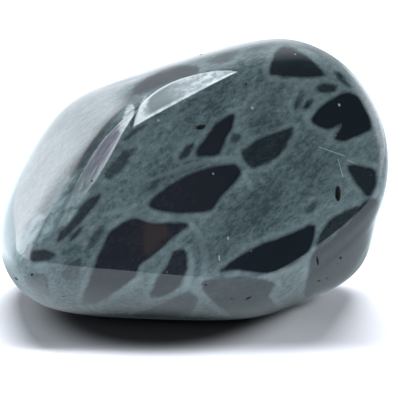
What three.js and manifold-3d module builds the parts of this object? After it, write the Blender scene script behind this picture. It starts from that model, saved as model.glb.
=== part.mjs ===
// A tumbled stone of spider obsidian: one glassy pebble, 30 mm long, shaped like a
// slanting egg with a blunt nose at its left. Its broad flat faces are worn round into
// each other, two shallow flake scars run along the ridge above the front face, and it
// rests on a small flat spot. Its dark fragments and grey-green web are only colour.
// Units are millimetres, +Z is up, the front faces -Y, and the origin is the middle of
// the stone's box on the surface that it stands on.

import * as THREE from "three";
import { mergeVertices } from "three/addons/utils/BufferGeometryUtils.js";
import Module from "manifold-3d";

// Driving dimensions
const stoneLength = 30;
const flatSpotTrim = 0.08;

// How tightly the faces turn into each other. A higher number gives a sharper edge.
const edgeTightness = 13;

// A ball of this radius round the stone's middle keeps its far corners short.
const cornerReach = 19.5;

// Each face looks along an azimuth and an elevation, in degrees, and lies at a reach
// from the stone's middle. Azimuth 0 is the front, and 90 is the right end.
const faces = {
  front: { azimuth: 4, elevation: 13, reach: 7.9 },
  frontUnder: { azimuth: -4, elevation: -46, reach: 11.0 },
  rightUnder: { azimuth: 52, elevation: -40, reach: 11.9 },
  rightEnd: { azimuth: 90, elevation: -6, reach: 14.3 },
  rightShoulder: { azimuth: 84, elevation: 36, reach: 15.8 },
  crown: { azimuth: 60, elevation: 84, reach: 12.2 },
  topSlope: { azimuth: -72, elevation: 68, reach: 9.35 },
  leftSlope: { azimuth: -72, elevation: 38, reach: 11.3 },
  nose: { azimuth: -84, elevation: 7, reach: 15.6 },
  noseUnder: { azimuth: -74, elevation: -42, reach: 16.1 },
  undersideRight: { azimuth: 90, elevation: -86, reach: 10.4 },
  undersideLeft: { azimuth: -90, elevation: -86, reach: 10.4 },
  back: { azimuth: 178, elevation: 5, reach: 10.2 },
  backSlope: { azimuth: -160, elevation: 55, reach: 10.1 },
  backRight: { azimuth: 128, elevation: 24, reach: 12.2 },
  backLeft: { azimuth: -118, elevation: 20, reach: 13.6 },
  backUnder: { azimuth: 170, elevation: -50, reach: 10.5 },
};

// A flake scar is a shallow hollow, pointed at both ends, that runs from start to end.
// Its half width and its bow to one side are in degrees, as seen from the stone's middle.
const flakeScars = {
  upper: {
    start: { azimuth: -36, elevation: 36 },
    end: { azimuth: 30, elevation: 60 },
    halfWidth: 9,
    bow: 8.8,
    depth: 0.3,
  },
  lower: {
    start: { azimuth: -38, elevation: 48 },
    end: { azimuth: -50, elevation: -6 },
    halfWidth: 2.8,
    bow: 0.5,
    depth: 0.16,
  },
};

// The ball of triangles has this many rows to a side. They are drawn closer together
// round the ridge, by this share, because the scars need small ones.
const triangleRows = 20;
const crowding = 0.3;
const ridge = { azimuth: -32, elevation: 45 };

function direction({ azimuth, elevation }) {
  const turn = THREE.MathUtils.degToRad(azimuth);
  const rise = THREE.MathUtils.degToRad(elevation);
  return new THREE.Vector3(
    Math.cos(rise) * Math.sin(turn),
    -Math.cos(rise) * Math.cos(turn),
    Math.sin(rise),
  );
}

const facePlanes = Object.values(faces).map((face) => ({
  normal: direction(face),
  reach: face.reach,
}));

// The distance from the stone's middle to its worn faces, along a direction
function reachOfFaces(along) {
  let sum = Math.pow(1 / cornerReach, edgeTightness);
  for (const { normal, reach } of facePlanes) {
    const facing = Math.max(0, normal.dot(along));
    sum += Math.pow(facing / reach, edgeTightness);
  }
  return Math.pow(sum, -1 / edgeTightness);
}

// A scar's own axes: across it, through its middle, and along it
const scarPaths = Object.values(flakeScars).map((scar) => {
  const start = direction(scar.start);
  const end = direction(scar.end);
  const across = start.clone().cross(end).normalize();
  const middle = start.clone().add(end).normalize();
  return {
    across,
    middle,
    lengthwise: across.clone().cross(middle),
    halfLength: start.angleTo(end) / 2,
    halfWidth: THREE.MathUtils.degToRad(scar.halfWidth),
    bow: THREE.MathUtils.degToRad(scar.bow),
    depth: scar.depth,
  };
});

// How deep a scar is along a direction. It fades to nothing at its sides and its ends.
function depthOfScar(along, scar) {
  const forward = along.dot(scar.middle);
  const travel = Math.atan2(along.dot(scar.lengthwise), forward) / scar.halfLength;
  const fullness = 1 - travel * travel;
  if (forward <= 0 || fullness <= 0) return 0;
  const aside = Math.asin(along.dot(scar.across)) - scar.bow * fullness;
  const offCentre = aside / (scar.halfWidth * fullness);
  return scar.depth * Math.sqrt(fullness) * Math.max(0, 1 - offCentre * offCentre);
}

function distanceToSurface(along) {
  const depths = scarPaths.map((scar) => depthOfScar(along, scar));
  return reachOfFaces(along) - Math.max(...depths);
}

// A ball of triangles whose corners are drawn out to the stone's surface
function roundedStone() {
  const ball = new THREE.IcosahedronGeometry(1, triangleRows);
  ball.deleteAttribute("normal");
  ball.deleteAttribute("uv");
  const geometry = mergeVertices(ball, 1e-5);
  const corners = geometry.getAttribute("position");
  const towardsRidge = direction(ridge).multiplyScalar(crowding);
  const along = new THREE.Vector3();
  for (let i = 0; i < corners.count; i++) {
    along.fromBufferAttribute(corners, i).normalize();
    along.add(towardsRidge).normalize();
    along.multiplyScalar(distanceToSurface(along));
    corners.setXYZ(i, along.x, along.y, along.z);
  }
  geometry.computeBoundingBox();
  const size = geometry.boundingBox.getSize(new THREE.Vector3());
  const scale = stoneLength / size.x;
  return geometry.scale(scale, scale, scale);
}

// Stands the stone over the origin, its lowest point a trim below z = 0.
function setDown(geometry) {
  geometry.computeBoundingBox();
  const middle = geometry.boundingBox.getCenter(new THREE.Vector3());
  const lowest = geometry.boundingBox.min.z;
  return geometry.translate(-middle.x, -middle.y, -lowest - flatSpotTrim);
}

const wasm = await Module();
wasm.setup();

function solidOf(geometry) {
  const bare = geometry.clone();
  bare.deleteAttribute("normal");
  bare.deleteAttribute("uv");
  const merged = mergeVertices(bare, 1e-5);
  const mesh = new wasm.Mesh({
    numProp: 3,
    vertProperties: new Float32Array(merged.getAttribute("position").array),
    triVerts: new Uint32Array(merged.index.array),
  });
  return new wasm.Manifold(mesh);
}

function geometryOf(solid) {
  const mesh = solid.getMesh();
  const corners = new THREE.BufferAttribute(new Float32Array(mesh.vertProperties), 3);
  return new THREE.BufferGeometry()
    .setAttribute("position", corners)
    .setIndex(new THREE.BufferAttribute(new Uint32Array(mesh.triVerts), 1));
}

// The flat spot: all that lies below z = 0 is taken off.
function withFlatSpot(geometry) {
  const belowTable = new THREE.BoxGeometry(2 * stoneLength, 2 * stoneLength, stoneLength);
  belowTable.translate(0, 0, -stoneLength / 2);
  const solid = solidOf(geometry).subtract(solidOf(belowTable));
  const flattened = geometryOf(solid);
  flattened.computeVertexNormals();
  return flattened;
}

const polishedObsidian = new THREE.MeshStandardMaterial({
  color: 0x4a5c60,
  roughness: 0.08,
  metalness: 0,
});

const stone = new THREE.Mesh(withFlatSpot(setDown(roundedStone())), polishedObsidian);
stone.name = "stone";

const tumbledStone = new THREE.Group();
tumbledStone.add(stone);

export default tumbledStone;
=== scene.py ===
import math
import random

import bmesh
import bpy
import numpy as np
from mathutils import Matrix, Vector
from mathutils.bvhtree import BVHTree


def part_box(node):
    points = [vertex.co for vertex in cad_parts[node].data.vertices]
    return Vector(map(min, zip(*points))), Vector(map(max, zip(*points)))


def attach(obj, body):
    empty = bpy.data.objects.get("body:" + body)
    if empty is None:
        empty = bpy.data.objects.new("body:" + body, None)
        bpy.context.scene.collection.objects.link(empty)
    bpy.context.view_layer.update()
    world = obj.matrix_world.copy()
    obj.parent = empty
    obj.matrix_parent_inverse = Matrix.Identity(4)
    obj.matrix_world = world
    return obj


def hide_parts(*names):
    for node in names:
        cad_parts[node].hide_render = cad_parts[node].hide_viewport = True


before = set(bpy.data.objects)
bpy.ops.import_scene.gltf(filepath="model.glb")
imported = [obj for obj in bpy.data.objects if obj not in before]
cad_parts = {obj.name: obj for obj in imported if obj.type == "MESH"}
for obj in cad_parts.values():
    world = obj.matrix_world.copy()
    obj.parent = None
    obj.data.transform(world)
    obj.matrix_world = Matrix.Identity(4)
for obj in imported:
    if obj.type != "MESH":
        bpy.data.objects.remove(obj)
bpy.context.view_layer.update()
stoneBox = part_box("stone")
print("frame loaded")

millimetre = 0.001


# Helpers for node trees

def plug(tree, node, values):  # fills a node's sockets in order, and skips those given as None
    for socket, value in zip(node.inputs, values):
        if isinstance(value, bpy.types.NodeSocket):
            tree.links.new(value, socket)
        elif value is not None:
            socket.default_value = value
    return node


def mathNode(tree, operation, *values):
    node = tree.nodes.new("ShaderNodeMath")
    node.operation = operation
    return plug(tree, node, values).outputs["Value"]


def plus(tree, first, second):
    return mathNode(tree, "ADD", first, second)


def minus(tree, first, second):
    return mathNode(tree, "SUBTRACT", first, second)


def over(tree, first, second):
    return mathNode(tree, "DIVIDE", first, second)


def times(tree, first, *others):
    for other in others:
        first = mathNode(tree, "MULTIPLY", first, other)
    return first


def greatest(tree, first, *others):
    for other in others:
        first = mathNode(tree, "MAXIMUM", first, other)
    return first


def vectorNode(tree, operation, *values):
    node = tree.nodes.new("ShaderNodeVectorMath")
    node.operation = operation
    plug(tree, node, values)
    return node.outputs["Value" if operation in ("DOT_PRODUCT", "LENGTH", "DISTANCE") else "Vector"]


def scaled(tree, vector, factor):
    return vectorNode(tree, "SCALE", vector, None, None, factor)


def ramp(tree, value, low, high, start=0.0, end=1.0):  # a smooth step from low to high
    node = tree.nodes.new("ShaderNodeMapRange")
    node.interpolation_type = "SMOOTHSTEP"
    plug(tree, node, (value, low, high, start, end))
    return node.outputs["Result"]


def geometryTree(name, sizes):
    tree = bpy.data.node_groups.new(name, "GeometryNodeTree")
    tree.interface.new_socket("Geometry", in_out="INPUT", socket_type="NodeSocketGeometry")
    for label, (kind, value) in sizes.items():
        socket = tree.interface.new_socket(label, in_out="INPUT", socket_type=kind)
        if value is not None:
            socket.default_value = value
    tree.interface.new_socket("Geometry", in_out="OUTPUT", socket_type="NodeSocketGeometry")
    entry = tree.nodes.new("NodeGroupInput")
    return tree, entry


def storeFloat(tree, geometry, name, value):
    node = tree.nodes.new("GeometryNodeStoreNamedAttribute")
    node.data_type = "FLOAT"
    node.domain = "POINT"
    node.inputs["Name"].default_value = name
    tree.links.new(geometry, node.inputs["Geometry"])
    tree.links.new(value, node.inputs["Value"])
    return node.outputs["Geometry"]


def closeTree(tree, geometry, material):
    realize = tree.nodes.new("GeometryNodeRealizeInstances")
    paint = tree.nodes.new("GeometryNodeSetMaterial")
    paint.inputs["Material"].default_value = material
    leave = tree.nodes.new("NodeGroupOutput")
    tree.links.new(geometry, realize.inputs["Geometry"])
    tree.links.new(realize.outputs["Geometry"], paint.inputs["Geometry"])
    tree.links.new(paint.outputs["Geometry"], leave.inputs["Geometry"])


def meshThroughTree(mesh, tree, values, name):  # runs a tree on a mesh and gives the plain result
    source = bpy.data.objects.new(name, mesh)
    bpy.context.scene.collection.objects.link(source)
    modifier = source.modifiers.new(tree.name, "NODES")
    modifier.node_group = tree
    for socket in tree.interface.items_tree:
        if socket.in_out == "INPUT" and socket.name in values:
            modifier[socket.identifier] = values[socket.name]
    bpy.context.view_layer.update()
    seen = source.evaluated_get(bpy.context.evaluated_depsgraph_get())
    result = bpy.data.meshes.new_from_object(seen)
    source.modifiers.remove(modifier)
    bpy.data.objects.remove(source)
    return result


def unitVector(azimuth, elevation):  # azimuth 0 is the front, 90 the right end
    turn, rise = math.radians(azimuth), math.radians(elevation)
    return Vector((
        math.cos(rise) * math.sin(turn),
        -math.cos(rise) * math.cos(turn),
        math.sin(rise),
    ))


def coordinatesOf(mesh):
    points = np.empty(3 * len(mesh.vertices))
    mesh.vertices.foreach_get("co", points)
    return points.reshape(-1, 3)


def giveFloat(mesh, name, values):
    layer = mesh.attributes.new(name, "FLOAT", "POINT")
    layer.data.foreach_set("value", np.asarray(values, np.float32))


# The stone's worn shape. Azimuth and elevation in degrees, reach and depth in millimetres.

wornShape = {
    "edgeTightness": 13.0,
    "cornerReach": 19.5,
    "faces": {
        "front": (4, 13, 7.9),
        "frontUnder": (-4, -46, 11.0),
        "rightUnder": (52, -40, 11.9),
        "rightEnd": (90, -6, 14.3),
        "rightShoulder": (84, 36, 15.8),
        "crown": (60, 84, 12.2),
        "topSlope": (-72, 68, 9.35),
        "leftSlope": (-72, 38, 11.3),
        "nose": (-84, 7, 15.6),
        "noseUnder": (-74, -42, 16.1),
        "undersideRight": (90, -86, 10.4),
        "undersideLeft": (-90, -86, 10.4),
        "back": (178, 5, 10.2),
        "backSlope": (-160, 55, 10.1),
        "backRight": (128, 24, 12.2),
        "backLeft": (-118, 20, 13.6),
        "backUnder": (170, -50, 10.5),
    },
    "flatSpotTrim": 0.08,
}

# Flake scars run from start to end. Half width and bow are in degrees from the stone's middle.
flakeScars = {
    "upper": {"start": (-36, 36), "end": (30, 60), "halfWidth": 9.0, "bow": 8.8, "depth": 0.3},
    "lower": {"start": (-38, 48), "end": (-50, -6), "halfWidth": 2.8, "bow": 0.5, "depth": 0.16},
}

meshGrain = {
    "roughLevel": 5,  # icosphere subdivisions of the first shape, which the pixels are cast on
    "ballLevel": 7,  # and of the finished one
    "scarMargin": 6,  # degrees round a scar that get smaller triangles
    "pitMargins": (3.2, 2.2),  # degrees round a pit, one more level each
}


def scarAxes(scar):  # its start and end, the axis across it, and its middle
    start, end = unitVector(*scar["start"]), unitVector(*scar["end"])
    return start, end, start.cross(end).normalized(), (start + end).normalized()


def fullnessAt(tree, travel, least):  # how full a scar's width is, from 1 halfway along it
    return greatest(tree, minus(tree, 1, times(tree, travel, travel)), least)


def scarPlace(tree, along, scar):  # its depth, and the place across and along it from -1 to 1
    start, end, across, middle = scarAxes(scar)
    forward = vectorNode(tree, "DOT_PRODUCT", along, middle)
    lengthwise = vectorNode(tree, "DOT_PRODUCT", along, across.cross(middle))
    angle = mathNode(tree, "ARCTAN2", lengthwise, forward)
    travel = over(tree, angle, start.angle(end) / 2)
    fullness = fullnessAt(tree, travel, 0.0001)
    aside = mathNode(tree, "ARCSINE", vectorNode(tree, "DOT_PRODUCT", along, across))
    aside = minus(tree, aside, times(tree, fullness, math.radians(scar["bow"])))
    offCentre = over(tree, aside, times(tree, fullness, math.radians(scar["halfWidth"])))
    hollow = greatest(tree, minus(tree, 1, times(tree, offCentre, offCentre)), 0)
    ahead = mathNode(tree, "GREATER_THAN", forward, 0)
    hollow = times(tree, hollow, mathNode(tree, "SQRT", fullness), ahead)
    offCentre = greatest(tree, mathNode(tree, "MINIMUM", offCentre, 3), -3)
    return times(tree, hollow, scar["depth"]), offCentre, travel


def wornStoneTree(material):  # draws the points of a unit ball out to the worn surface, in millimetres
    tree, entry = geometryTree("wornStone", {
        "Edge Tightness": ("NodeSocketFloat", wornShape["edgeTightness"]),
        "Corner Reach": ("NodeSocketFloat", wornShape["cornerReach"]),
    })
    tightness = entry.outputs["Edge Tightness"]
    usual = 10.0  # a reach near all the others, which keeps the powers near 1
    position = tree.nodes.new("GeometryNodeInputPosition").outputs["Position"]
    along = vectorNode(tree, "NORMALIZE", position)
    total = mathNode(tree, "POWER", over(tree, usual, entry.outputs["Corner Reach"]), tightness)
    for azimuth, elevation, reach in wornShape["faces"].values():
        facing = vectorNode(tree, "DOT_PRODUCT", along, unitVector(azimuth, elevation))
        nearness = times(tree, greatest(tree, facing, 0), usual / reach)
        total = plus(tree, total, mathNode(tree, "POWER", nearness, tightness))
    root = mathNode(tree, "POWER", total, over(tree, -1, tightness))
    depth = 0.0
    marked = entry.outputs["Geometry"]
    for name, scar in flakeScars.items():
        hollow, across, travel = scarPlace(tree, along, scar)
        depth = greatest(tree, hollow, depth)
        marked = storeFloat(tree, marked, name + "Across", across)
        marked = storeFloat(tree, marked, name + "Travel", travel)
    reach = minus(tree, times(tree, root, usual), depth)
    place = tree.nodes.new("GeometryNodeSetPosition")
    tree.links.new(marked, place.inputs["Geometry"])
    tree.links.new(scaled(tree, along, reach), place.inputs["Position"])
    closeTree(tree, place.outputs["Geometry"], material)
    return tree


def ballOfDirections(level, fineSpots=()):  # fineSpots: (directions, degrees round each)
    ball = bmesh.new()
    bmesh.ops.create_icosphere(ball, subdivisions=level, radius=1)
    for directions, margin in fineSpots:
        points = np.array([v.co.normalized() for v in ball.verts])
        near = (points @ np.array(directions).T).max(1) > math.cos(math.radians(margin))
        ball.verts.ensure_lookup_table()
        edges = [e for e in ball.edges if near[e.verts[0].index] or near[e.verts[1].index]]
        bmesh.ops.subdivide_edges(ball, edges=edges, cuts=1, use_grid_fill=True)
        bmesh.ops.triangulate(ball, faces=[f for f in ball.faces if len(f.verts) > 3])
        ball.verts.index_update()
    mesh = bpy.data.meshes.new("ball")
    ball.to_mesh(mesh)
    ball.free()
    return mesh


def scarDirections(steps=12):  # directions along the middle line of each scar
    found = []
    for scar in flakeScars.values():
        start, end, across = scarAxes(scar)[:3]
        for step in range(steps + 1):
            share = step / steps
            bow = math.radians(scar["bow"]) * (1 - (2 * share - 1) ** 2)
            found.append((start.slerp(end, share) + across * math.tan(bow)).normalized())
    return found


def wornStone(ball, material):
    values = {
        "Edge Tightness": wornShape["edgeTightness"],
        "Corner Reach": wornShape["cornerReach"],
    }
    return meshThroughTree(ball, wornStoneTree(material), values, "wornStone")


# Fits the worn shape to the frame: same length and place as the CAD stone, its lowest point the flat
# spot's trim below z = 0.
def fitToFrame(points):
    low, high = points.min(0), points.max(0)
    scale = (stoneBox[1].x - stoneBox[0].x) / (high[0] - low[0])
    middle = (low + high) / 2
    shift = np.array([
        (stoneBox[0].x + stoneBox[1].x) / 2 - middle[0] * scale,
        (stoneBox[0].y + stoneBox[1].y) / 2 - middle[1] * scale,
        -low[2] * scale - wornShape["flatSpotTrim"] * millimetre,
    ])
    return scale, shift


# The photograph's view. Pixels are those of the 400 x 400 frame.

photoView = {
    "frame": 400,
    "elevation": 14,  # degrees
    "distance": 0.230,
    "pixelsPerMillimetre": 12.9,
    "stoneMiddle": (200, 185),
}


def viewDirections():
    rise = math.radians(photoView["elevation"])
    back = Vector((0, -math.cos(rise), math.sin(rise)))
    up = Vector((0, math.sin(rise), math.cos(rise)))
    return back, up, Vector((1, 0, 0))


def cameraPlace(stoneMiddle):
    back, up = viewDirections()[:2]
    half = photoView["frame"] / 2
    lift = (half - photoView["stoneMiddle"][1]) / photoView["pixelsPerMillimetre"] * millimetre
    return stoneMiddle - up * lift + back * photoView["distance"]


def pixelsAcross():  # the focal length in pixels
    return photoView["pixelsPerMillimetre"] / millimetre * photoView["distance"]


def pixelsOf(points, eye):  # the photo pixel of each point
    back, up, right = (np.array(v) for v in viewDirections())
    half = photoView["frame"] / 2
    offset = points - np.array(eye)
    away = -(offset @ back)
    column = half + pixelsAcross() * (offset @ right) / away
    row = half - pixelsAcross() * (offset @ up) / away
    return np.stack([column, row], 1)


def rayThrough(pixel):
    back, up, right = viewDirections()
    half = photoView["frame"] / 2
    ray = right * (pixel[0] - half) - up * (pixel[1] - half) - back * pixelsAcross()
    return ray.normalized()


def makeCamera(eye):
    data = bpy.data.cameras.new("photoCamera")
    camera = bpy.data.objects.new("photoCamera", data)
    bpy.context.scene.collection.objects.link(camera)
    data.sensor_width = 36  # millimetres
    data.lens = data.sensor_width * pixelsAcross() / photoView["frame"]
    data.clip_start, data.clip_end = 0.01, 10
    camera.location = eye
    camera.rotation_mode = "QUATERNION"
    camera.rotation_quaternion = (-viewDirections()[0]).to_track_quat("-Z", "Y")
    bpy.context.scene.camera = camera


# The dark fragments that the front shows. Each has a veil, from 0 for nearly black to 1 for
# hidden in the web, and an outline of points in photo pixels.

fragments = {
    "bigLens": (0, [(147, 204), (163, 189), (184, 176), (212, 166), (236, 163), (241, 171),
                    (239, 179), (222, 196), (212, 212), (179, 214), (153, 210)]),
    "diamond": (0.1, [(240, 152), (258, 139), (273, 133), (296, 126), (283, 153), (268, 163),
                      (253, 169), (246, 163)]),
    "upperMiddle": (0, [(235, 112), (233, 128), (224, 143), (219, 156), (196, 157), (196, 150),
                        (207, 135), (217, 122)]),
    "smallBesideIt": (0.1, [(195, 143), (189, 156), (179, 160), (179, 156), (186, 145)]),
    "ring": (0.25, [(230, 138), (234, 133), (240, 134), (241, 139), (236, 143), (231, 142)]),
    "top": (0.05, [(283, 46), (293, 48), (311, 59), (327, 75), (316, 78), (288, 77), (268, 75),
                   (270, 64), (276, 51)]),
    "topRight": (0, [(310, 120), (319, 107), (339, 94), (349, 92), (360, 97), (370, 117),
                     (372, 129), (362, 135), (344, 142), (332, 139), (343, 123), (329, 130),
                     (314, 125)]),
    "topRightOval": (0.1, [(314, 88), (324, 83), (337, 85), (337, 91), (324, 94)]),
    "topRightChip": (0.05, [(302, 110), (306, 101), (315, 99), (309, 108)]),
    "topRightSliver": (0.25, [(293, 107), (297, 97), (304, 87), (301, 102), (296, 111)]),
    "rimChip": (0.15, [(333, 71), (340, 72), (352, 88), (346, 86), (338, 79)]),
    "rightEdge": (0.05, [(346, 163), (376, 168), (377, 184), (370, 199), (360, 189), (349, 173)]),
    "lowerRight": (0.05, [(360, 204), (349, 222), (330, 240), (312, 252), (308, 275), (303, 300),
                          (330, 296), (352, 275), (368, 248), (382, 212), (376, 196)]),
    "lowerRightTip": (0.1, [(360, 204), (349, 222), (314, 251), (319, 235), (329, 219)]),
    "longLow": (0, [(217, 273), (235, 258), (258, 245), (286, 235), (316, 222), (315, 237),
                    (310, 251), (293, 265), (270, 274), (255, 273), (237, 270)]),
    "underLongLow": (0.15, [(201, 283), (209, 278), (255, 277), (277, 283), (268, 296),
                            (278, 309), (237, 318), (224, 311), (204, 293)]),
    "bigLeftLow": (0, [(133, 217), (142, 220), (150, 223), (186, 222), (189, 226), (170, 240),
                       (158, 252), (140, 265), (135, 278), (125, 285), (100, 302), (80, 305),
                       (93, 270), (99, 253), (110, 230)]),
    "lowMiddle": (0.05, [(173, 251), (187, 249), (187, 270), (179, 288), (163, 297), (148, 297),
                         (158, 278), (168, 263)]),
    "leftStreak": (0.15, [(101, 193), (99, 201), (84, 219), (61, 242), (56, 242), (60, 231),
                          (74, 217), (84, 201)]),
    "leftSliver": (0.25, [(84, 226), (80, 234), (69, 243), (70, 237), (78, 229)]),
    "leftMost": (0.15, [(29, 260), (31, 251), (43, 249), (56, 253), (54, 258), (43, 261), (33, 263)]),
    "upperLeft": (0.3, [(138, 147), (133, 153), (120, 173), (110, 180), (102, 176), (112, 163),
                         (125, 150)]),
    "besideScar": (0.25, [(149, 123), (140, 131), (124, 142), (122, 140), (134, 129)]),
    "overRidge": (0.2, [(199, 66), (172, 65), (149, 75), (134, 87), (133, 94), (140, 95),
                        (149, 91), (172, 81), (199, 74)]),
    "ridgeBand": (0.45, [(134, 89), (122, 101), (107, 116), (90, 137), (77, 156), (67, 172),
                         (71, 180), (79, 171), (92, 152), (107, 129), (123, 110), (135, 97)]),
    "topLeft": (0.4, [(207, 61), (222, 54), (240, 50), (230, 61), (217, 64)]),
    "topChip": (0.5, [(237, 62), (243, 60), (245, 66), (239, 68)]),
    "topSliver": (0.5, [(247, 50), (257, 46), (266, 46), (256, 51)]),
    "brownSliver": (0.35, [(102, 225), (106, 226), (99, 240), (92, 248), (87, 248), (93, 233)]),
    "noseLow": (0.45, [(23, 275), (46, 273), (51, 297), (28, 288)]),
    "noseSliver": (0.5, [(63, 268), (84, 255), (82, 262), (76, 281), (62, 280)]),
    "lowLeftPatch": (0.25, [(126, 318), (160, 305), (188, 290), (199, 298), (191, 314)]),
    "besidePit": (0.35, [(304, 211), (310, 204), (322, 196), (316, 209), (308, 215)]),
    "streakAboveLens": (0.6, [(140, 190), (158, 176), (184, 166), (214, 160), (190, 170),
                              (163, 183), (146, 196)]),
    "fadedTop": (0.75, [(262, 96), (271, 90), (283, 95), (284, 108), (273, 114), (264, 108)]),
    "fadedUpper": (0.75, [(200, 104), (213, 101), (228, 102), (222, 112), (208, 113)]),
    "fadedMiddle": (0.72, [(222, 203), (248, 186), (272, 180), (283, 200), (272, 222), (246, 236),
                           (224, 244), (216, 226)]),
    "fadedLow": (0.66, [(192, 233), (214, 240), (243, 240), (228, 258), (208, 268), (197, 256)]),
    "fadedRight": (0.8, [(300, 165), (326, 150), (338, 168), (326, 190), (306, 192)]),
    "fadedRingSide": (0.7, [(252, 118), (268, 112), (284, 118), (270, 130), (255, 130)]),
}


# Pale streaks of the web below the lower scar, and a pale wash on the nose, brightened with painted
# sheen
paleStreaksAndSheen = {
    "upper": [(78, 168), (72, 184), (63, 203), (55, 221), (45, 240), (38, 243), (46, 220),
              (54, 203), (66, 183)],
    "lower": [(102, 166), (97, 175), (88, 191), (77, 208), (67, 224), (60, 230), (62, 216),
              (71, 198), (84, 180), (95, 166)],
    "nose": [(46, 216), (40, 230), (28, 248), (20, 262), (16, 250), (24, 232), (36, 214)],
}

# Frosted chips where the two scars meet, painted white as highlights
frostAndHighlightChips = {
    "betweenScars": [(131, 104), (135, 107), (133, 116), (128, 124), (122, 133), (118, 129),
                     (123, 116), (127, 108)],
    "tip": [(146, 96), (149, 100), (144, 110), (138, 122), (134, 128), (132, 127), (137, 115),
            (140, 104)],
}

# The dark rib between those painted highlights
darkRibs = {
    "betweenScars": [(139, 101), (135, 110), (131, 121), (130, 127), (132, 128), (136, 117),
                     (139, 109)],
}

# Fine pale veins of web round the big lens
paleVeins = {
    "aboveLens": [(146, 182), (165, 172), (190, 164), (215, 158), (234, 156), (215, 161), (190, 168),
                  (166, 176)],
    "belowLens": [(188, 220), (197, 226), (204, 239), (209, 256), (205, 276), (200, 283), (203, 262),
                  (199, 242), (192, 230)],
    "besideLens": [(242, 170), (249, 177), (254, 190), (250, 191), (245, 181)],
    "left": [(98, 216), (112, 211), (125, 206), (142, 203), (127, 211), (112, 216)],
    "rightOfLow": [(190, 252), (195, 262), (192, 280), (184, 296), (180, 296), (187, 278), (190, 264)],
}

# The brown cloud inside one fragment
brownClouds = {
    "inBigLeftLow": [(144, 224), (162, 223), (168, 232), (161, 246), (147, 254), (142, 240)],
}


def cornersCut(outline, rounds=2, share=0.16):  # rounds an outline's corners off a little
    points = np.array(outline, float)
    for _ in range(rounds):
        following = np.roll(points, -1, 0)
        near = points * (1 - share) + following * share
        far = points * share + following * (1 - share)
        points = np.stack([near, far], 1).reshape(-1, 2)
    return points


def insideDistance(places, outline):  # positive inside the outline, in the outline's unit
    nearest = np.full(len(places), np.inf)
    inside = np.zeros(len(places), bool)
    for start, end in zip(outline, np.roll(outline, -1, 0)):
        edge = end - start
        offset = places - start
        share = np.clip(offset @ edge / (edge @ edge), 0, 1)
        nearest = np.minimum(nearest, np.linalg.norm(offset - share[:, None] * edge, axis=1))
        crosses = (start[1] > places[:, 1]) != (end[1] > places[:, 1])
        rise = np.where(edge[1] == 0, 1e-9, edge[1])
        level = start[0] + (places[:, 1] - start[1]) / rise * edge[0]
        inside ^= crosses & (places[:, 0] < level)
    return np.where(inside, nearest, -nearest)


fragmentEdges = {
    "reach": 60,  # pixels round an outline within which its distance is worked out
    "faceOn": (0.05, 0.22),  # how far a face turns to the view before the photo's outlines hold
}


# Signed distance in millimetres to the nearest outline, positive inside it, and which one it is
def frontOutlines(pixels, shown, outlines):
    reach = fragmentEdges["reach"]
    distance = np.full(len(pixels), -float(reach))
    which = np.zeros(len(pixels), int)
    for index, outline in enumerate(outlines):
        border = cornersCut(outline)
        low, high = border.min(0) - reach, border.max(0) + reach
        near = np.flatnonzero(shown & (pixels > low).all(1) & (pixels < high).all(1))
        found = insideDistance(pixels[near], border)
        closer = found > distance[near]
        distance[near[closer]] = found[closer]
        which[near[closer]] = index
    return distance / photoView["pixelsPerMillimetre"], which


def markFront(mesh, eye):  # stores each outline's distance on the points that the photo shows
    points = coordinatesOf(mesh)
    normals = np.empty(3 * len(mesh.vertices))
    mesh.vertices.foreach_get("normal", normals)
    towardsEye = np.array(eye) - points
    towardsEye /= np.linalg.norm(towardsEye, axis=1)[:, None]
    facing = (normals.reshape(-1, 3) * towardsEye).sum(1)
    low, high = fragmentEdges["faceOn"]
    share = np.clip((facing - low) / (high - low), 0, 1)
    pixels = pixelsOf(points, eye)
    veils, outlines = zip(*fragments.values())
    distance, which = frontOutlines(pixels, share > 0, outlines)
    giveFloat(mesh, "fragment", distance)
    giveFloat(mesh, "veil", np.array(veils)[which])
    giveFloat(mesh, "frontShare", share * share * (3 - 2 * share))
    marks = {"streak": paleStreaksAndSheen, "vein": paleVeins, "rib": darkRibs, "chipFrostAndHighlight": frostAndHighlightChips,
             "brown": brownClouds}
    for name, group in marks.items():
        giveFloat(mesh, name, frontOutlines(pixels, share > 0, group.values())[0])


# Pits that the polish left. Those in view run from photo pixel to photo pixel, with a radius and
# a depth in millimetres. The rest are scattered.

pits = {
    "inView": [
        ((197, 128), (205, 126), 0.18, 0.15),
        ((338, 187), (338, 200), 0.22, 0.2),
        ((317, 257), (318, 265), 0.1, 0.08),
        ((340, 257), (341, 259), 0.13, 0.08),
        ((337, 264), (337, 264), 0.08, 0.05),
        ((318, 281), (320, 281), 0.1, 0.07),
        ((327, 278), (327, 279), 0.1, 0.07),
        ((251, 297), (246, 299), 0.1, 0.08),
        ((231, 298), (232, 299), 0.08, 0.06),
        ((328, 292), (328, 292), 0.08, 0.05),
        ((205, 285), (207, 285), 0.08, 0.05),
        ((15, 278), (18, 279), 0.13, 0.1),
        ((23, 277), (24, 277), 0.09, 0.05),
        ((31, 275), (33, 274), 0.1, 0.06),
        ((12, 292), (13, 294), 0.11, 0.08),
        ((63, 296), (64, 297), 0.09, 0.05),
        ((46, 285), (47, 285), 0.08, 0.04),
        ((169, 107), (170, 107), 0.07, 0.05),
        ((92, 181), (92, 181), 0.08, 0.05),
        ((246, 84), (246, 84), 0.07, 0.04),
    ],
    "step": 0.5,  # pixels between the points of a long pit
    "taper": 0.85,  # towards its ends
    "scattered": 46,
    "seed": 11,
    "radii": (0.06, 0.17),
    "depthShare": 0.6,  # of the radius
    "clearOfView": 0.15,  # scattered pits keep to faces that turn from the photo's view
}


def surfaceTree(mesh):  # finds where a ray meets the mesh
    return BVHTree.FromPolygons(
        [vertex.co for vertex in mesh.vertices], [list(face.vertices) for face in mesh.polygons])


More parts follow.
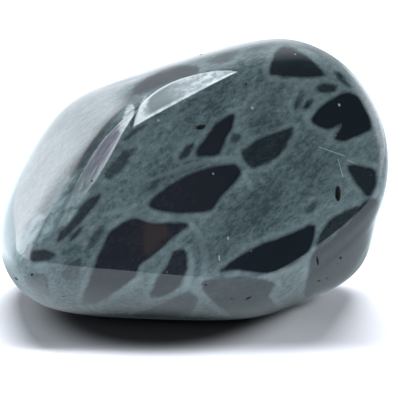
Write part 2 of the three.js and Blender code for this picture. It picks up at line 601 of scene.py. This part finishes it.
def pitPoints(surface, eye):  # a list of (point, radius, depth)
    found = []
    for first, last, radius, depth in pits["inView"]:
        start, end = Vector(first), Vector(last)
        steps = int((end - start).length / pits["step"])
        for step in range(steps + 1):
            share = step / max(steps, 1)
            taper = math.sqrt(1 - pits["taper"] * (2 * share - 1) ** 2) if steps else 1
            point = surface.ray_cast(eye, rayThrough(start.lerp(end, share)))[0]
            if point is not None:
                found.append((point, radius * taper, depth * taper))
    draw = random.Random(pits["seed"])
    middle = (stoneBox[0] + stoneBox[1]) / 2
    placed = 0
    while placed < pits["scattered"]:
        way = Vector((draw.gauss(0, 1), draw.gauss(0, 1), draw.gauss(0, 1))).normalized()
        radius = draw.uniform(*pits["radii"])
        point, normal = surface.ray_cast(middle + way, -way)[:2]
        if normal.dot((eye - point).normalized()) < pits["clearOfView"]:
            found.append((point, radius, radius * pits["depthShare"]))
            placed += 1
    return found


def pitCloud(found):  # an object with a point for each pit
    cloud = bpy.data.meshes.new("pitPlaces")
    cloud.from_pydata([point for point, radius, depth in found], [], [])
    giveFloat(cloud, "pitRadius", [radius * millimetre for point, radius, depth in found])
    giveFloat(cloud, "pitDepth", [depth * millimetre for point, radius, depth in found])
    holder = bpy.data.objects.new("pitPlaces", cloud)
    bpy.context.scene.collection.objects.link(holder)
    return holder


def pitTree(material):  # sinks the surface round the points of another object
    tree, entry = geometryTree("surfacePits", {
        "Pit Places": ("NodeSocketObject", None),
        "Depth Scale": ("NodeSocketFloat", 1.0),
        "Wall Steepness": ("NodeSocketFloat", 3.0),
    })
    places = tree.nodes.new("GeometryNodeObjectInfo")
    tree.links.new(entry.outputs["Pit Places"], places.inputs["Object"])
    nearest = tree.nodes.new("GeometryNodeSampleNearest")
    tree.links.new(places.outputs["Geometry"], nearest.inputs["Geometry"])

    def sampled(kind, value):
        node = tree.nodes.new("GeometryNodeSampleIndex")
        node.data_type = kind
        tree.links.new(places.outputs["Geometry"], node.inputs["Geometry"])
        tree.links.new(value, node.inputs["Value"])
        tree.links.new(nearest.outputs["Index"], node.inputs["Index"])
        return node.outputs["Value"]

    def named(name):
        node = tree.nodes.new("GeometryNodeInputNamedAttribute")
        node.data_type = "FLOAT"
        node.inputs["Name"].default_value = name
        return node.outputs["Attribute"]

    position = tree.nodes.new("GeometryNodeInputPosition").outputs["Position"]
    normal = tree.nodes.new("GeometryNodeInputNormal").outputs["Normal"]
    centre = sampled("FLOAT_VECTOR", position)
    away = vectorNode(tree, "DISTANCE", position, centre)
    share = over(tree, away, sampled("FLOAT", named("pitRadius")))
    wall = mathNode(tree, "POWER", share, entry.outputs["Wall Steepness"])
    hollow = greatest(tree, minus(tree, 1, wall), 0)
    pitDepth = sampled("FLOAT", named("pitDepth"))
    depth = times(tree, pitDepth, hollow, entry.outputs["Depth Scale"])
    marked = storeFloat(tree, entry.outputs["Geometry"], "pit", hollow)
    sink = tree.nodes.new("GeometryNodeSetPosition")
    tree.links.new(marked, sink.inputs["Geometry"])
    inwards = scaled(tree, normal, times(tree, depth, -1))
    tree.links.new(inwards, sink.inputs["Offset"])
    closeTree(tree, sink.outputs["Geometry"], material)
    return tree


# The stone's finish. Colours are linear, and sizes are in millimetres. A grain is a noise's
# scale, detail and roughness, and a flowing grain has its squeeze along the flow before them.

finish = {
    # The web, from deep to pale, the painted sheen on its pale streaks, and the scratches in it
    "web": (0.074, 0.106, 0.109),
    "webDeep": (0.030, 0.049, 0.052),
    "webPale": (0.135, 0.178, 0.182),
    "streakSheen": (0.23, 0.31, 0.32),
    "scratch": (0.30, 0.38, 0.38),
    # The black glass of the fragments, its paler mottling, and its tone towards the right end
    "ink": (0.0085, 0.0102, 0.0138),
    "inkPale": (0.0130, 0.0150, 0.0205),
    "inkRight": (0.0035, 0.0068, 0.0090),
    "inkChange": (-2.0, 6.0),  # from the stone's middle
    "brown": (0.021, 0.018, 0.018),
    # painted shade: the pits are coloured near black
    "pitShade": (0.002, 0.003, 0.003),
    # The frosted glass of the flake scars, with a painted reflection of the light and painted
    # highlights in its colour
    "frostAndReflection": (0.5, 0.56, 0.57),
    "scarHighlight": (0.5, 0.545, 0.555),
    "frostDimReflection": (0.12, 0.15, 0.154),
    "frostGreyReflection": (0.13, 0.13, 0.16),
    # The polish
    "roughness": 0.05,
    "scarRoughness": 0.35,
    "pitRoughness": 0.9,  # on top of the rest
    "ior": 1.5,
    "ripple": 0.1,  # height of the polish's faint ripples
    "rippleGrain": (0.9, 2, 0.5),
    # Flowing grains of the web, and how much each counts in its tone
    "flowTilt": 40,  # degrees up from left to right
    "clouds": (0.5, 0.3, 2, 0.5),
    "streaks": (0.2, 1.6, 3, 0.6),
    "mottle": (0.55, 3.0, 3, 0.75),
    "darkSpecks": (0.5, 5, 3, 0.75),
    "toneShares": {"clouds": 0.5, "streaks": 0.45, "mottle": 0.8},
    "deepToPlain": (0.69, 0.97),  # the tones between which the web turns from deep to plain
    "plainToPale": (0.92, 1.12),
    # Edges of the fragments
    "waver": 1.6,  # how far the scattered fragments' edges waver
    "waverGrain": (0.55, 4, 0.5),
    "edgeWander": 0.22,  # how far a front fragment's edge strays from its outline
    "edgeGrain": (1.3, 3, 0.6),
    "edgeBlur": (0.16, 0.8),  # of a clear fragment, and of a faint one
    "faintVeils": (0.5, 0.75),  # the veils between which a fragment turns faint
    "brownGrain": (1.2, 3, 0.6),
    "chipGrain": (3.2, 4, 0.75),
    "dots": (1.1, 0.06),  # pinpoints of light: cells to a millimetre, and the largest's share
    "dotShare": 0.5,  # how strong they are beside the scratches
    "scratchShare": 0.7,
}

# Fragments out of view fill some cells of two mosaics. Filled is the share of the cells that are
# dark, gap is the web between them, and squeeze draws them out along the flow.
mosaics = {
    "large": {"cell": 4.6, "filled": 0.62, "gap": 0.42, "squeeze": 0.5},
    "small": {"cell": 2.1, "filled": 0.34, "gap": 0.3, "squeeze": 0.6},
}

# Frost in the flake scars, painted with the light's reflection. A rim of painted highlight runs
# between two distances in from its side, with a soft edge.
scarFrostAndHighlights = {
    "upperLowRim": (0.0, 0.34, 0.14),
    "upperHighRim": (0.0, 0.24, 0.13),
    "lowerLeftRim": (0.0, 0.1, 0.07),
    "lowerRightRim": (0.02, 0.24, 0.12),
    "lowerTop": (-0.95, -0.5, 0.1),  # places along it, from -1 to 1
    "patches": (1.6, 4, 0.7),  # grains
    "streaks": (5, 3, 0.6),
    "border": (3.5, 3, 0.6),
    "wander": 0.14,  # how far a border strays in all
    "fromMiddle": 10.5,  # from the stone's middle out to the scars
}

# Thin pale scratches and dots of light on the front, from pixel to pixel. Width in millimetres.
scratches = {
    "long": ((319, 147), (345, 156), 0.03),
    "across": ((348, 160), (366, 169), 0.03),
    "down": ((338, 159), (343, 177), 0.03),
    "inTopRight": ((339, 104.5), (339.4, 105.5), 0.08),
    "inTop": ((295, 54), (295.5, 54.5), 0.06),
    "onWeb": ((252, 107.5), (252.4, 108.3), 0.09),
    "belowRing": ((228, 237.5), (228.3, 239), 0.07),
    "aboveLens": ((213, 173.5), (213.5, 174), 0.06),
    "onUpperWeb": ((158, 120), (158.5, 120.5), 0.07),
    "nearHorizon": ((219, 256), (219.5, 260), 0.06),
}


def attribute(tree, name):
    node = tree.nodes.new("ShaderNodeAttribute")
    node.attribute_name = name
    return node.outputs["Fac"]


def mixColour(tree, share, first, second):
    node = tree.nodes.new("ShaderNodeMix")
    node.data_type = "RGBA"
    for index, value in ((0, share), (6, first), (7, second)):
        if isinstance(value, bpy.types.NodeSocket):
            tree.links.new(value, node.inputs[index])
        else:
            node.inputs[index].default_value = (*value, 1) if isinstance(value, tuple) else value
    return node.outputs[2]


def noise(tree, place, scale, detail, roughness, output="Fac"):
    node = tree.nodes.new("ShaderNodeTexNoise")
    tree.links.new(place, node.inputs["Vector"])
    for name, value in (("Scale", scale), ("Detail", detail), ("Roughness", roughness)):
        node.inputs[name].default_value = value
    return node.outputs[output]


def flowPlace(tree, place, squeeze):  # places turned along the flow and shortened along it
    node = tree.nodes.new("ShaderNodeMapping")
    node.vector_type = "POINT"
    tree.links.new(place, node.inputs["Vector"])
    node.inputs["Rotation"].default_value = (0, math.radians(finish["flowTilt"]), 0)
    return vectorNode(tree, "MULTIPLY", node.outputs["Vector"], (squeeze, 1, 1))


def flowNoise(tree, place, name):  # one of the finish's flowing grains
    squeeze, *grain = finish[name]
    return noise(tree, flowPlace(tree, place, squeeze), *grain)


def voronoi(tree, place, scale, feature="F1"):
    node = tree.nodes.new("ShaderNodeTexVoronoi")
    node.feature = feature
    tree.links.new(place, node.inputs["Vector"])
    node.inputs["Scale"].default_value = scale
    return node.outputs


def chancesOf(tree, cells):  # three random numbers from 0 to 1 for each cell
    node = tree.nodes.new("ShaderNodeSeparateColor")
    tree.links.new(cells["Color"], node.inputs["Color"])
    return node.outputs


def mosaicFragments(tree, place, mosaic):  # positive inside a filled cell, in millimetres
    cell, gap = mosaic["cell"], mosaic["gap"]
    flowing = flowPlace(tree, place, mosaic["squeeze"])
    fromEdge = voronoi(tree, flowing, 1 / cell, "DISTANCE_TO_EDGE")["Distance"]
    chances = chancesOf(tree, voronoi(tree, flowing, 1 / cell))
    border = mathNode(tree, "MULTIPLY_ADD", chances["Green"], gap, gap * 0.6)  # 0.6 to 1.6 gaps
    inside = minus(tree, times(tree, fromEdge, cell), border)
    empty = mathNode(tree, "GREATER_THAN", chances["Red"], mosaic["filled"])
    return minus(tree, inside, times(tree, empty, 20))  # an empty cell lies far outside


def lineMarkGroup():  # 1 within a width of the line between two points
    tree = bpy.data.node_groups.new("lineMark", "ShaderNodeTree")
    for label, kind in (("Place", "NodeSocketVector"), ("From", "NodeSocketVector"),
                        ("To", "NodeSocketVector"), ("Width", "NodeSocketFloat")):
        tree.interface.new_socket(label, in_out="INPUT", socket_type=kind)
    tree.interface.new_socket("Share", in_out="OUTPUT", socket_type="NodeSocketFloat")
    entry = tree.nodes.new("NodeGroupInput").outputs
    leave = tree.nodes.new("NodeGroupOutput")
    line = vectorNode(tree, "SUBTRACT", entry["To"], entry["From"])
    offset = vectorNode(tree, "SUBTRACT", entry["Place"], entry["From"])
    length = vectorNode(tree, "DOT_PRODUCT", line, line)
    travel = over(tree, vectorNode(tree, "DOT_PRODUCT", offset, line), length)
    travel = mathNode(tree, "MINIMUM", greatest(tree, travel, 0), 1)
    away = vectorNode(tree, "DISTANCE", offset, scaled(tree, line, travel))
    share = over(tree, away, entry["Width"])
    tree.links.new(ramp(tree, share, 0.3, 1.3, 1, 0), leave.inputs["Share"])
    return tree


def scratchMarks(tree, place, surface, eye):  # 1 on the scratches and dots of the front
    group = lineMarkGroup()
    marks = None
    for start, end, width in scratches.values():
        ends = [surface.ray_cast(eye, rayThrough(pixel))[0] / millimetre for pixel in (start, end)]
        node = tree.nodes.new("ShaderNodeGroup")
        node.node_tree = group
        tree.links.new(place, node.inputs["Place"])
        node.inputs["From"].default_value, node.inputs["To"].default_value = ends
        node.inputs["Width"].default_value = width
        share = node.outputs["Share"]
        marks = share if marks is None else greatest(tree, marks, share)
    return marks


def band(tree, value, low, high, soft):  # 1 between low and high
    rise = ramp(tree, value, low - soft, low + soft)
    fall = ramp(tree, value, high - soft, high + soft, 1, 0)
    return times(tree, rise, fall)


def scarSides(tree, place, name):  # millimetres in from its two sides, its travel, and 1 inside it
    travel, across = (attribute(tree, name + way) for way in ("Travel", "Across"))
    fullness = fullnessAt(tree, travel, 0)
    halfWidth = math.radians(flakeScars[name]["halfWidth"]) * scarFrostAndHighlights["fromMiddle"]
    width = times(tree, fullness, halfWidth)
    near = times(tree, plus(tree, 1, across), width)
    far = times(tree, minus(tree, 1, across), width)
    border, stray = noise(tree, place, *scarFrostAndHighlights["border"]), scarFrostAndHighlights["wander"]
    wander = mathNode(tree, "MULTIPLY_ADD", border, stray, -stray / 2)
    inside = plus(tree, mathNode(tree, "MINIMUM", near, far), wander)
    worn = times(tree, ramp(tree, inside, 0.0, 0.09), ramp(tree, fullness, 0.0, 0.06))
    return near, far, travel, worn


def lengthwiseStreaks(tree, travel, aside, stretch):  # noise drawn out along a scar
    node = tree.nodes.new("ShaderNodeCombineXYZ")
    tree.links.new(times(tree, travel, stretch), node.inputs["X"])
    tree.links.new(aside, node.inputs["Y"])
    return noise(tree, node.outputs["Vector"], *scarFrostAndHighlights["streaks"])


def upperScar(tree, place, colour):  # paints the broad scar over a colour: frost with a painted reflection, and painted highlights on its rims and tip
    near, far, travel, worn = scarSides(tree, place, "upper")
    streaky = lengthwiseStreaks(tree, travel, near, 0.5)
    patches = noise(tree, place, *scarFrostAndHighlights["patches"])
    body = mixColour(tree, ramp(tree, travel, -0.3, 0.4), finish["frostDimReflection"], finish["frostAndReflection"])
    body = mixColour(tree, ramp(tree, patches, 0.42, 0.62, 0.75, 0), body, finish["frostDimReflection"])
    body = mixColour(tree, ramp(tree, streaky, 0.35, 0.65, 0, 0.4), body, finish["frostDimReflection"])
    # painted highlights along the rims and at the tip
    lowRim = band(tree, near, *scarFrostAndHighlights["upperLowRim"])
    lowRim = times(tree, lowRim, ramp(tree, patches, 0.35, 0.6, 0.45, 1))
    highRim = band(tree, far, *scarFrostAndHighlights["upperHighRim"])
    highRim = times(tree, highRim, ramp(tree, travel, -0.2, 0.9, 0.9, 0.5))
    tip = ramp(tree, travel, -0.8, -0.55, 1, 0)
    tip = times(tree, tip, ramp(tree, patches, 0.38, 0.55, 0.4, 1))
    body = mixColour(tree, greatest(tree, lowRim, highRim, tip), body, finish["scarHighlight"])
    return mixColour(tree, worn, colour, body), worn


def lowerScar(tree, place, colour):  # paints the narrow scar over a colour: frost with a painted reflection, and painted highlights on its rims and top
    near, far, travel, worn = scarSides(tree, place, "lower")
    streaky = lengthwiseStreaks(tree, travel, times(tree, near, 2.2), 0.6)
    body = mixColour(tree, ramp(tree, travel, -0.1, 0.5), finish["frostGreyReflection"], finish["frostDimReflection"])
    body = mixColour(tree, ramp(tree, streaky, 0.5, 0.66, 0, 0.5), body, finish["frostAndReflection"])
    # painted highlights along the rims and at the top
    leftRim = band(tree, near, *scarFrostAndHighlights["lowerLeftRim"])
    leftRim = times(tree, leftRim, ramp(tree, travel, -0.1, 0.5, 0.8, 0.1))
    rightRim = band(tree, far, *scarFrostAndHighlights["lowerRightRim"])
    rightRim = times(tree, rightRim, ramp(tree, travel, 0.1, 0.8, 0.75, 0.2))
    rims = times(tree, greatest(tree, leftRim, rightRim), ramp(tree, streaky, 0.3, 0.6, 1, 0.5))
    top = band(tree, travel, *scarFrostAndHighlights["lowerTop"])
    top = times(tree, top, ramp(tree, streaky, 0.42, 0.52, 0.3, 1))
    body = mixColour(tree, greatest(tree, rims, top), body, finish["scarHighlight"])
    faded = times(tree, worn, ramp(tree, travel, 0.1, 0.9, 1, 0.25))
    return mixColour(tree, faded, colour, body), worn


def frostedChipsAndHighlights(tree, place, colour):  # paints the frosted chips beside the scars white as highlights, and the rib in them
    frontShare = attribute(tree, "frontShare")
    flecks = noise(tree, place, *finish["chipGrain"])
    ragged = mathNode(tree, "MULTIPLY_ADD", flecks, 0.6, attribute(tree, "chipFrostAndHighlight"))
    chipFrostAndHighlight = times(tree, ramp(tree, ragged, 0.2, 0.45), frontShare)
    # painted highlight: the chips are coloured white
    highlighted = times(tree, chipFrostAndHighlight, ramp(tree, flecks, 0.38, 0.6, 0.3, 0.65))
    colour = mixColour(tree, highlighted, colour, finish["frostAndReflection"])
    rib = times(tree, ramp(tree, attribute(tree, "rib"), -0.06, 0.06), frontShare, 0.8)
    return mixColour(tree, rib, colour, finish["webDeep"]), chipFrostAndHighlight


# How dark the fragments are, from 0 to 1, how far in from their edges a place lies, and its veil.
# The photo's outlines hold on the front, and the mosaics everywhere else.
def fragmentShade(tree, place, wavering):
    large, small = (mosaicFragments(tree, wavering, mosaic) for mosaic in mosaics.values())
    around = greatest(tree, large, small, -3)  # no further out than 3 mm
    frontShare = attribute(tree, "frontShare")
    wander = minus(tree, noise(tree, place, *finish["edgeGrain"]), 0.5)
    front = mathNode(tree, "MULTIPLY_ADD", wander, finish["edgeWander"], attribute(tree, "fragment"))
    inside = plus(tree, around, times(tree, minus(tree, front, around), frontShare))
    veil = times(tree, attribute(tree, "veil"), frontShare)
    blur = ramp(tree, veil, *finish["faintVeils"], *finish["edgeBlur"])
    dark = ramp(tree, inside, times(tree, blur, -1), blur)
    return times(tree, dark, minus(tree, 1, veil)), inside, veil


def webColour(tree, place, wavering, mottle, inside, veil):  # the grey-green glass between them
    clouds = flowNoise(tree, wavering, "clouds")
    streaks = flowNoise(tree, wavering, "streaks")
    shares = finish["toneShares"]
    tone = times(tree, clouds, shares["clouds"])
    tone = mathNode(tree, "MULTIPLY_ADD", streaks, shares["streaks"], tone)
    tone = mathNode(tree, "MULTIPLY_ADD", mottle, shares["mottle"], tone)
    plain = ramp(tree, tone, *finish["deepToPlain"])
    web = mixColour(tree, plain, finish["webDeep"], finish["web"])
    pale = ramp(tree, tone, *finish["plainToPale"], 0, 0.6)
    web = mixColour(tree, pale, web, finish["webPale"])
    specks = ramp(tree, flowNoise(tree, place, "darkSpecks"), 0.36, 0.5, 0.85, 0)
    specks = times(tree, specks, ramp(tree, clouds, 0.35, 0.6, 1, 0.4))
    web = mixColour(tree, specks, web, finish["webDeep"])
    halo = band(tree, inside, -0.5, -0.1, 0.2)  # a paler line beside the clear fragments
    halo = times(tree, halo, ramp(tree, veil, 0.1, 0.6, 0.3, 0))
    web = mixColour(tree, halo, web, finish["webPale"])
    # painted sheen on the pale streaks
    streakSheen = ramp(tree, attribute(tree, "streak"), -0.35, 0.25)
    streakSheen = times(tree, streakSheen, ramp(tree, streaks, 0.35, 0.6))
    web = mixColour(tree, streakSheen, web, finish["streakSheen"])
    vein = ramp(tree, attribute(tree, "vein"), -0.18, 0.1)
    vein = times(tree, vein, attribute(tree, "frontShare"), 0.5)
    return mixColour(tree, vein, web, finish["webPale"])


def inkColour(tree, place, mottle):  # the black glass of the fragments
    ink = mixColour(tree, ramp(tree, mottle, 0.45, 0.7), finish["ink"], finish["inkPale"])
    sides = tree.nodes.new("ShaderNodeSeparateXYZ")
    tree.links.new(place, sides.inputs["Vector"])
    rightwards = ramp(tree, sides.outputs["X"], *finish["inkChange"], 0, 0.8)
    ink = mixColour(tree, rightwards, ink, finish["inkRight"])
    patches = noise(tree, place, *finish["brownGrain"])
    brown = mathNode(tree, "MULTIPLY_ADD", patches, 2.2, attribute(tree, "brown"))
    return mixColour(tree, ramp(tree, brown, 0.5, 1.6), ink, finish["brown"])


def lightDots(tree, place):  # 1 in scattered pinpoints of light
    scale, largest = finish["dots"]
    dots = voronoi(tree, place, scale)
    radius = ramp(tree, chancesOf(tree, dots)["Red"], 0.5, 1, 0, largest)
    return mathNode(tree, "LESS_THAN", dots["Distance"], radius)


def obsidianMaterial():
    material = bpy.data.materials.new("spiderObsidian")
    material.use_nodes = True
    material.node_tree.nodes.clear()
    return material


def paintObsidian(material, surface, eye):  # the surface and the eye place the scratches
    tree = material.node_tree
    objectPlace = tree.nodes.new("ShaderNodeTexCoord").outputs["Object"]
    place = scaled(tree, objectPlace, 1 / millimetre)
    waver = noise(tree, place, *finish["waverGrain"], output="Color")
    waver = scaled(tree, vectorNode(tree, "SUBTRACT", waver, (0.5, 0.5, 0.5)), finish["waver"])
    wavering = vectorNode(tree, "ADD", place, waver)
    mottle = flowNoise(tree, place, "mottle")

    dark, inside, veil = fragmentShade(tree, place, wavering)
    web = webColour(tree, place, wavering, mottle, inside, veil)
    colour = mixColour(tree, dark, web, inkColour(tree, place, mottle))
    colour, upper = upperScar(tree, place, colour)
    colour, lower = lowerScar(tree, place, colour)
    colour, chipFrostAndHighlight = frostedChipsAndHighlights(tree, place, colour)
    dots = times(tree, lightDots(tree, place), finish["dotShare"])
    light = greatest(tree, dots, scratchMarks(tree, place, surface, eye))
    colour = mixColour(tree, times(tree, light, finish["scratchShare"]), colour, finish["scratch"])
    # painted shade: near black in the pits
    pitted = ramp(tree, attribute(tree, "pit"), 0.02, 0.2)
    colour = mixColour(tree, pitted, colour, finish["pitShade"])

    frosted = greatest(tree, upper, lower, chipFrostAndHighlight)
    roughness = ramp(tree, frosted, 0, 1, finish["roughness"], finish["scarRoughness"])
    roughness = mathNode(tree, "MULTIPLY_ADD", pitted, finish["pitRoughness"], roughness)
    ripples = noise(tree, place, *finish["rippleGrain"])
    ripples = mathNode(tree, "MULTIPLY_ADD", mottle, 0.3, ripples)
    bump = tree.nodes.new("ShaderNodeBump")
    bump.inputs["Strength"].default_value = 0.04
    bump.inputs["Distance"].default_value = finish["ripple"] * millimetre
    tree.links.new(ripples, bump.inputs["Height"])

    glass = tree.nodes.new("ShaderNodeBsdfPrincipled")
    glass.inputs["IOR"].default_value = finish["ior"]
    tree.links.new(colour, glass.inputs["Base Color"])
    tree.links.new(roughness, glass.inputs["Roughness"])
    tree.links.new(bump.outputs["Normal"], glass.inputs["Normal"])
    leave = tree.nodes.new("ShaderNodeOutputMaterial")
    tree.links.new(glass.outputs["BSDF"], leave.inputs["Surface"])


# The floor and the studio round it

studio = {
    "floorFront": -0.037,  # the white floor ends this far towards the camera
    "floorBack": 0.6,
    "floorHalfWidth": 0.5,
    "floorColour": (0.84, 0.85, 0.88),
    # Soft ovals on the floor. Edges are the shares of their radii between which they change.
    # The first is the radiance that the polish mirrors, painted as a glow: a painted shadow under the
    # stone, and light away from it.
    "mirroredFloor": {"middle": (0.001, 0.005), "radii": (0.019, 0.011), "edges": (0.85, 1.6),
                      "shade": 0.45, "light": 1.9, "tint": (0.87, 1.0, 1.08)},
    # Painted shadow beside the spot that the stone rests on, as the share of light left: in the
    # mirrored glow, and in the floor's colour
    "mirroredContact": {"middle": (-0.0015, 0.0), "radii": (0.011, 0.0068), "edges": (0.85, 1.15),
                        "left": 0.1},
    "paintedContactShadow": {"middle": (-0.0025, -0.0013), "radii": (0.0092, 0.0116), "edges": (0.72, 1.2),
                     "left": 0.07},
    "tint": (0.97, 1.0, 1.06),
    "dark": 0.05,  # radiance of the room in front and overhead
    "leftGlow": 0.7,  # radiance above the left wall
    "leftGlowChange": (-0.75, -0.3),  # from the left to the right
    "ceiling": 0.5,  # radiance above the back wall
    "ceilingChange": (0.0, 0.6),  # from the middle to the back
    "diffuseShare": 0.06,  # how much of the walls' light reaches dull surfaces
    # White walls round the stone. Each looks out along x, y. Its top is a height, its front and
    # back edges are places towards the back (on the back wall, from left to right), its light
    # changes between two more, and rise is how steeply its top climbs towards the back. All are
    # shares of the distance out, and the second numbers of top, front and back are softness.
    "walls": {
        "left": {"out": (-1, 0), "top": (0.92, 0.13), "rise": 0.11, "front": (-1.2, 0.3),
                 "back": (5.5, 1.2), "light": 5.3, "lightAtBack": 2.1, "change": (0.2, 2.0)},
        "right": {"out": (1, 0), "top": (0.68, 0.38), "rise": 0, "front": (-0.35, 0.3),
                  "back": (5, 1.5), "light": 4.0, "lightAtBack": 1.0, "change": (0.5, 4)},
        "back": {"out": (0, 1), "top": (0.29, 0.13), "rise": 0, "front": (-6, 1),
                 "back": (6, 1), "light": 1.9, "lightAtBack": 0.6, "change": (-0.15, 0.15)},
    },
    # Lamps aim at the stone. They light it but aren't mirrored in it.
    "lamps": {
        "above": {"place": (0.02, 0.18, 0.46), "size": (0.44, 0.13), "watts": 4.8},
        "rightFill": {"place": (0.3, 0.05, 0.16), "size": (0.1, 0.1), "watts": 0.5},
        "frontFill": {"place": (0, -0.35, -0.03), "size": (0.5, 0.05), "watts": 1.15},
    },
}


def ovalShade(tree, oval, inside, outside):  # a smooth change round an oval on the floor
    place = tree.nodes.new("ShaderNodeTexCoord").outputs["Object"]
    offset = vectorNode(tree, "SUBTRACT", place, (*oval["middle"], 0))
    across, deep = oval["radii"]
    away = vectorNode(tree, "LENGTH", vectorNode(tree, "MULTIPLY", offset, (1 / across, 1 / deep, 0)))
    return ramp(tree, away, *oval["edges"], inside, outside)


def shadeFloor(tree, surface):  # paints a shadow into the floor's colour, and the glow with painted shadow that mirror rays see
    mirrored, contact = studio["mirroredFloor"], studio["mirroredContact"]
    # painted reflection: the floor glows for mirror rays instead of being lit
    glow = tree.nodes.new("ShaderNodeEmission")
    glow.inputs["Color"].default_value = (*mirrored["tint"], 1)
    soft = ovalShade(tree, mirrored, mirrored["shade"], mirrored["light"])
    near = ovalShade(tree, contact, contact["left"], 1)
    tree.links.new(times(tree, soft, near), glow.inputs["Strength"])
    # painted shadow: the floor's colour darkens to black round the contact
    paintedShadow = ovalShade(tree, studio["paintedContactShadow"], studio["paintedContactShadow"]["left"], 1)
    paint = mixColour(tree, paintedShadow, (0, 0, 0), studio["floorColour"])
    tree.links.new(paint, surface.inputs["Base Color"])
    seen = tree.nodes.new("ShaderNodeLightPath").outputs["Is Glossy Ray"]
    mix = tree.nodes.new("ShaderNodeMixShader")
    plug(tree, mix, (seen, surface.outputs["BSDF"], glow.outputs["Emission"]))
    tree.links.new(mix.outputs[0], tree.nodes["Material Output"].inputs["Surface"])


def makeFloor():
    half, front, back = studio["floorHalfWidth"], studio["floorFront"], studio["floorBack"]
    corners = [(-half, front, 0), (half, front, 0), (half, back, 0), (-half, back, 0)]
    mesh = bpy.data.meshes.new("floor")
    mesh.from_pydata(corners, [], [(0, 1, 2, 3)])
    floor = bpy.data.objects.new("floor", mesh)
    bpy.context.scene.collection.objects.link(floor)
    material = bpy.data.materials.new("whiteSweep")
    material.use_nodes = True
    surface = material.node_tree.nodes["Principled BSDF"]
    surface.inputs["Roughness"].default_value = 0.9
    surface.inputs["Specular IOR Level"].default_value = 0
    shadeFloor(material.node_tree, surface)
    mesh.materials.append(material)


def wallLight(tree, parts, wall):  # a wall's radiance along a direction, 0 past its edges
    outX, outY = wall["out"]
    facing = times(tree, parts["X"] if outX else parts["Y"], outX + outY)
    near = greatest(tree, facing, 0.001)
    side = over(tree, parts["Y"] if outX else parts["X"], near)
    height = over(tree, parts["Z"], near)
    light = ramp(tree, side, *wall["change"], wall["light"], wall["lightAtBack"])
    height = minus(tree, height, times(tree, greatest(tree, side, 0), wall["rise"]))
    for value, (edge, soft), before, after in (
            (height, wall["top"], 1, 0), (side, wall["front"], 0, 1), (side, wall["back"], 1, 0)):
        light = times(tree, light, ramp(tree, value, edge - soft, edge + soft, before, after))
    return times(tree, light, mathNode(tree, "GREATER_THAN", facing, 0))


def makeLamps(target):
    for name, lamp in studio["lamps"].items():
        data = bpy.data.lights.new(name, "AREA")
        data.shape = "RECTANGLE"
        data.size, data.size_y = lamp["size"]
        data.energy = lamp["watts"]
        data.color = studio["tint"]
        holder = bpy.data.objects.new(name, data)
        bpy.context.scene.collection.objects.link(holder)
        holder.location = lamp["place"]
        holder.rotation_mode = "QUATERNION"
        holder.rotation_quaternion = (target - Vector(lamp["place"])).to_track_quat("-Z", "Y")
        holder.visible_glossy = False


def makeWorld():
    world = bpy.data.worlds.new("studio")
    bpy.context.scene.world = world
    world.use_nodes = True
    tree = world.node_tree
    tree.nodes.clear()
    way = tree.nodes.new("ShaderNodeTexCoord").outputs["Generated"]
    separate = tree.nodes.new("ShaderNodeSeparateXYZ")
    tree.links.new(vectorNode(tree, "NORMALIZE", way), separate.inputs["Vector"])
    parts = separate.outputs
    light = ramp(tree, parts["Y"], *studio["ceilingChange"], studio["dark"], studio["ceiling"])
    glow = ramp(tree, parts["X"], *studio["leftGlowChange"], studio["leftGlow"], 0)
    light = greatest(tree, light, glow)
    for wall in studio["walls"].values():
        light = greatest(tree, light, wallLight(tree, parts, wall))
    surround = tree.nodes.new("ShaderNodeBackground")
    surround.inputs["Color"].default_value = (*studio["tint"], 1)
    rays = tree.nodes.new("ShaderNodeLightPath").outputs
    share = ramp(tree, rays["Is Diffuse Ray"], 0, 1, 1, studio["diffuseShare"])
    tree.links.new(times(tree, light, share), surround.inputs["Strength"])
    backdrop = tree.nodes.new("ShaderNodeBackground")
    backdrop.inputs["Color"].default_value = (1, 1, 1, 1)
    mix = tree.nodes.new("ShaderNodeMixShader")
    leave = tree.nodes.new("ShaderNodeOutputWorld")
    plug(tree, mix, (rays["Is Camera Ray"], surround.outputs[0], backdrop.outputs[0]))
    tree.links.new(mix.outputs[0], leave.inputs["Surface"])


# The making

material = obsidianMaterial()
firstShape = wornStone(ballOfDirections(meshGrain["roughLevel"]), material)
scale, shift = fitToFrame(coordinatesOf(firstShape))
stoneMiddle = Vector(shift)
eye = cameraPlace(stoneMiddle)
makeCamera(eye)
firstShape.transform(Matrix.Translation(stoneMiddle) @ Matrix.Scale(scale, 4))
print("camera placed")

surface = surfaceTree(firstShape)
paintObsidian(material, surface, eye)
found = pitPoints(surface, eye)
pitDirections = [(point - stoneMiddle).normalized() for point, radius, depth in found]
fineSpots = [(scarDirections(), meshGrain["scarMargin"])]
fineSpots += [(pitDirections, margin) for margin in meshGrain["pitMargins"]]
shape = wornStone(ballOfDirections(meshGrain["ballLevel"], fineSpots), material)
scale, shift = fitToFrame(coordinatesOf(shape))
places = coordinatesOf(shape) * scale + shift
places[:, 2] = np.maximum(places[:, 2], 0)  # the flat spot
shape.vertices.foreach_set("co", places.ravel())
shape.update()
markFront(shape, eye)
print("stone shaped and marked,", len(shape.polygons), "faces")

cloud = pitCloud(found)
pitted = meshThroughTree(shape, pitTree(material), {"Pit Places": cloud}, "stonePits")
bpy.data.objects.remove(cloud)
pitted.name = "polishedStone"
pitted.polygons.foreach_set("use_smooth", [True] * len(pitted.polygons))
polishedStone = bpy.data.objects.new("polishedStone", pitted)
bpy.context.scene.collection.objects.link(polishedStone)
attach(polishedStone, "root")
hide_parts("stone")
print("pits sunk,", len(found), "of them")

makeFloor()
makeWorld()
makeLamps(stoneMiddle)
bpy.context.scene.view_settings.view_transform = "Standard"
print("floor and light set")
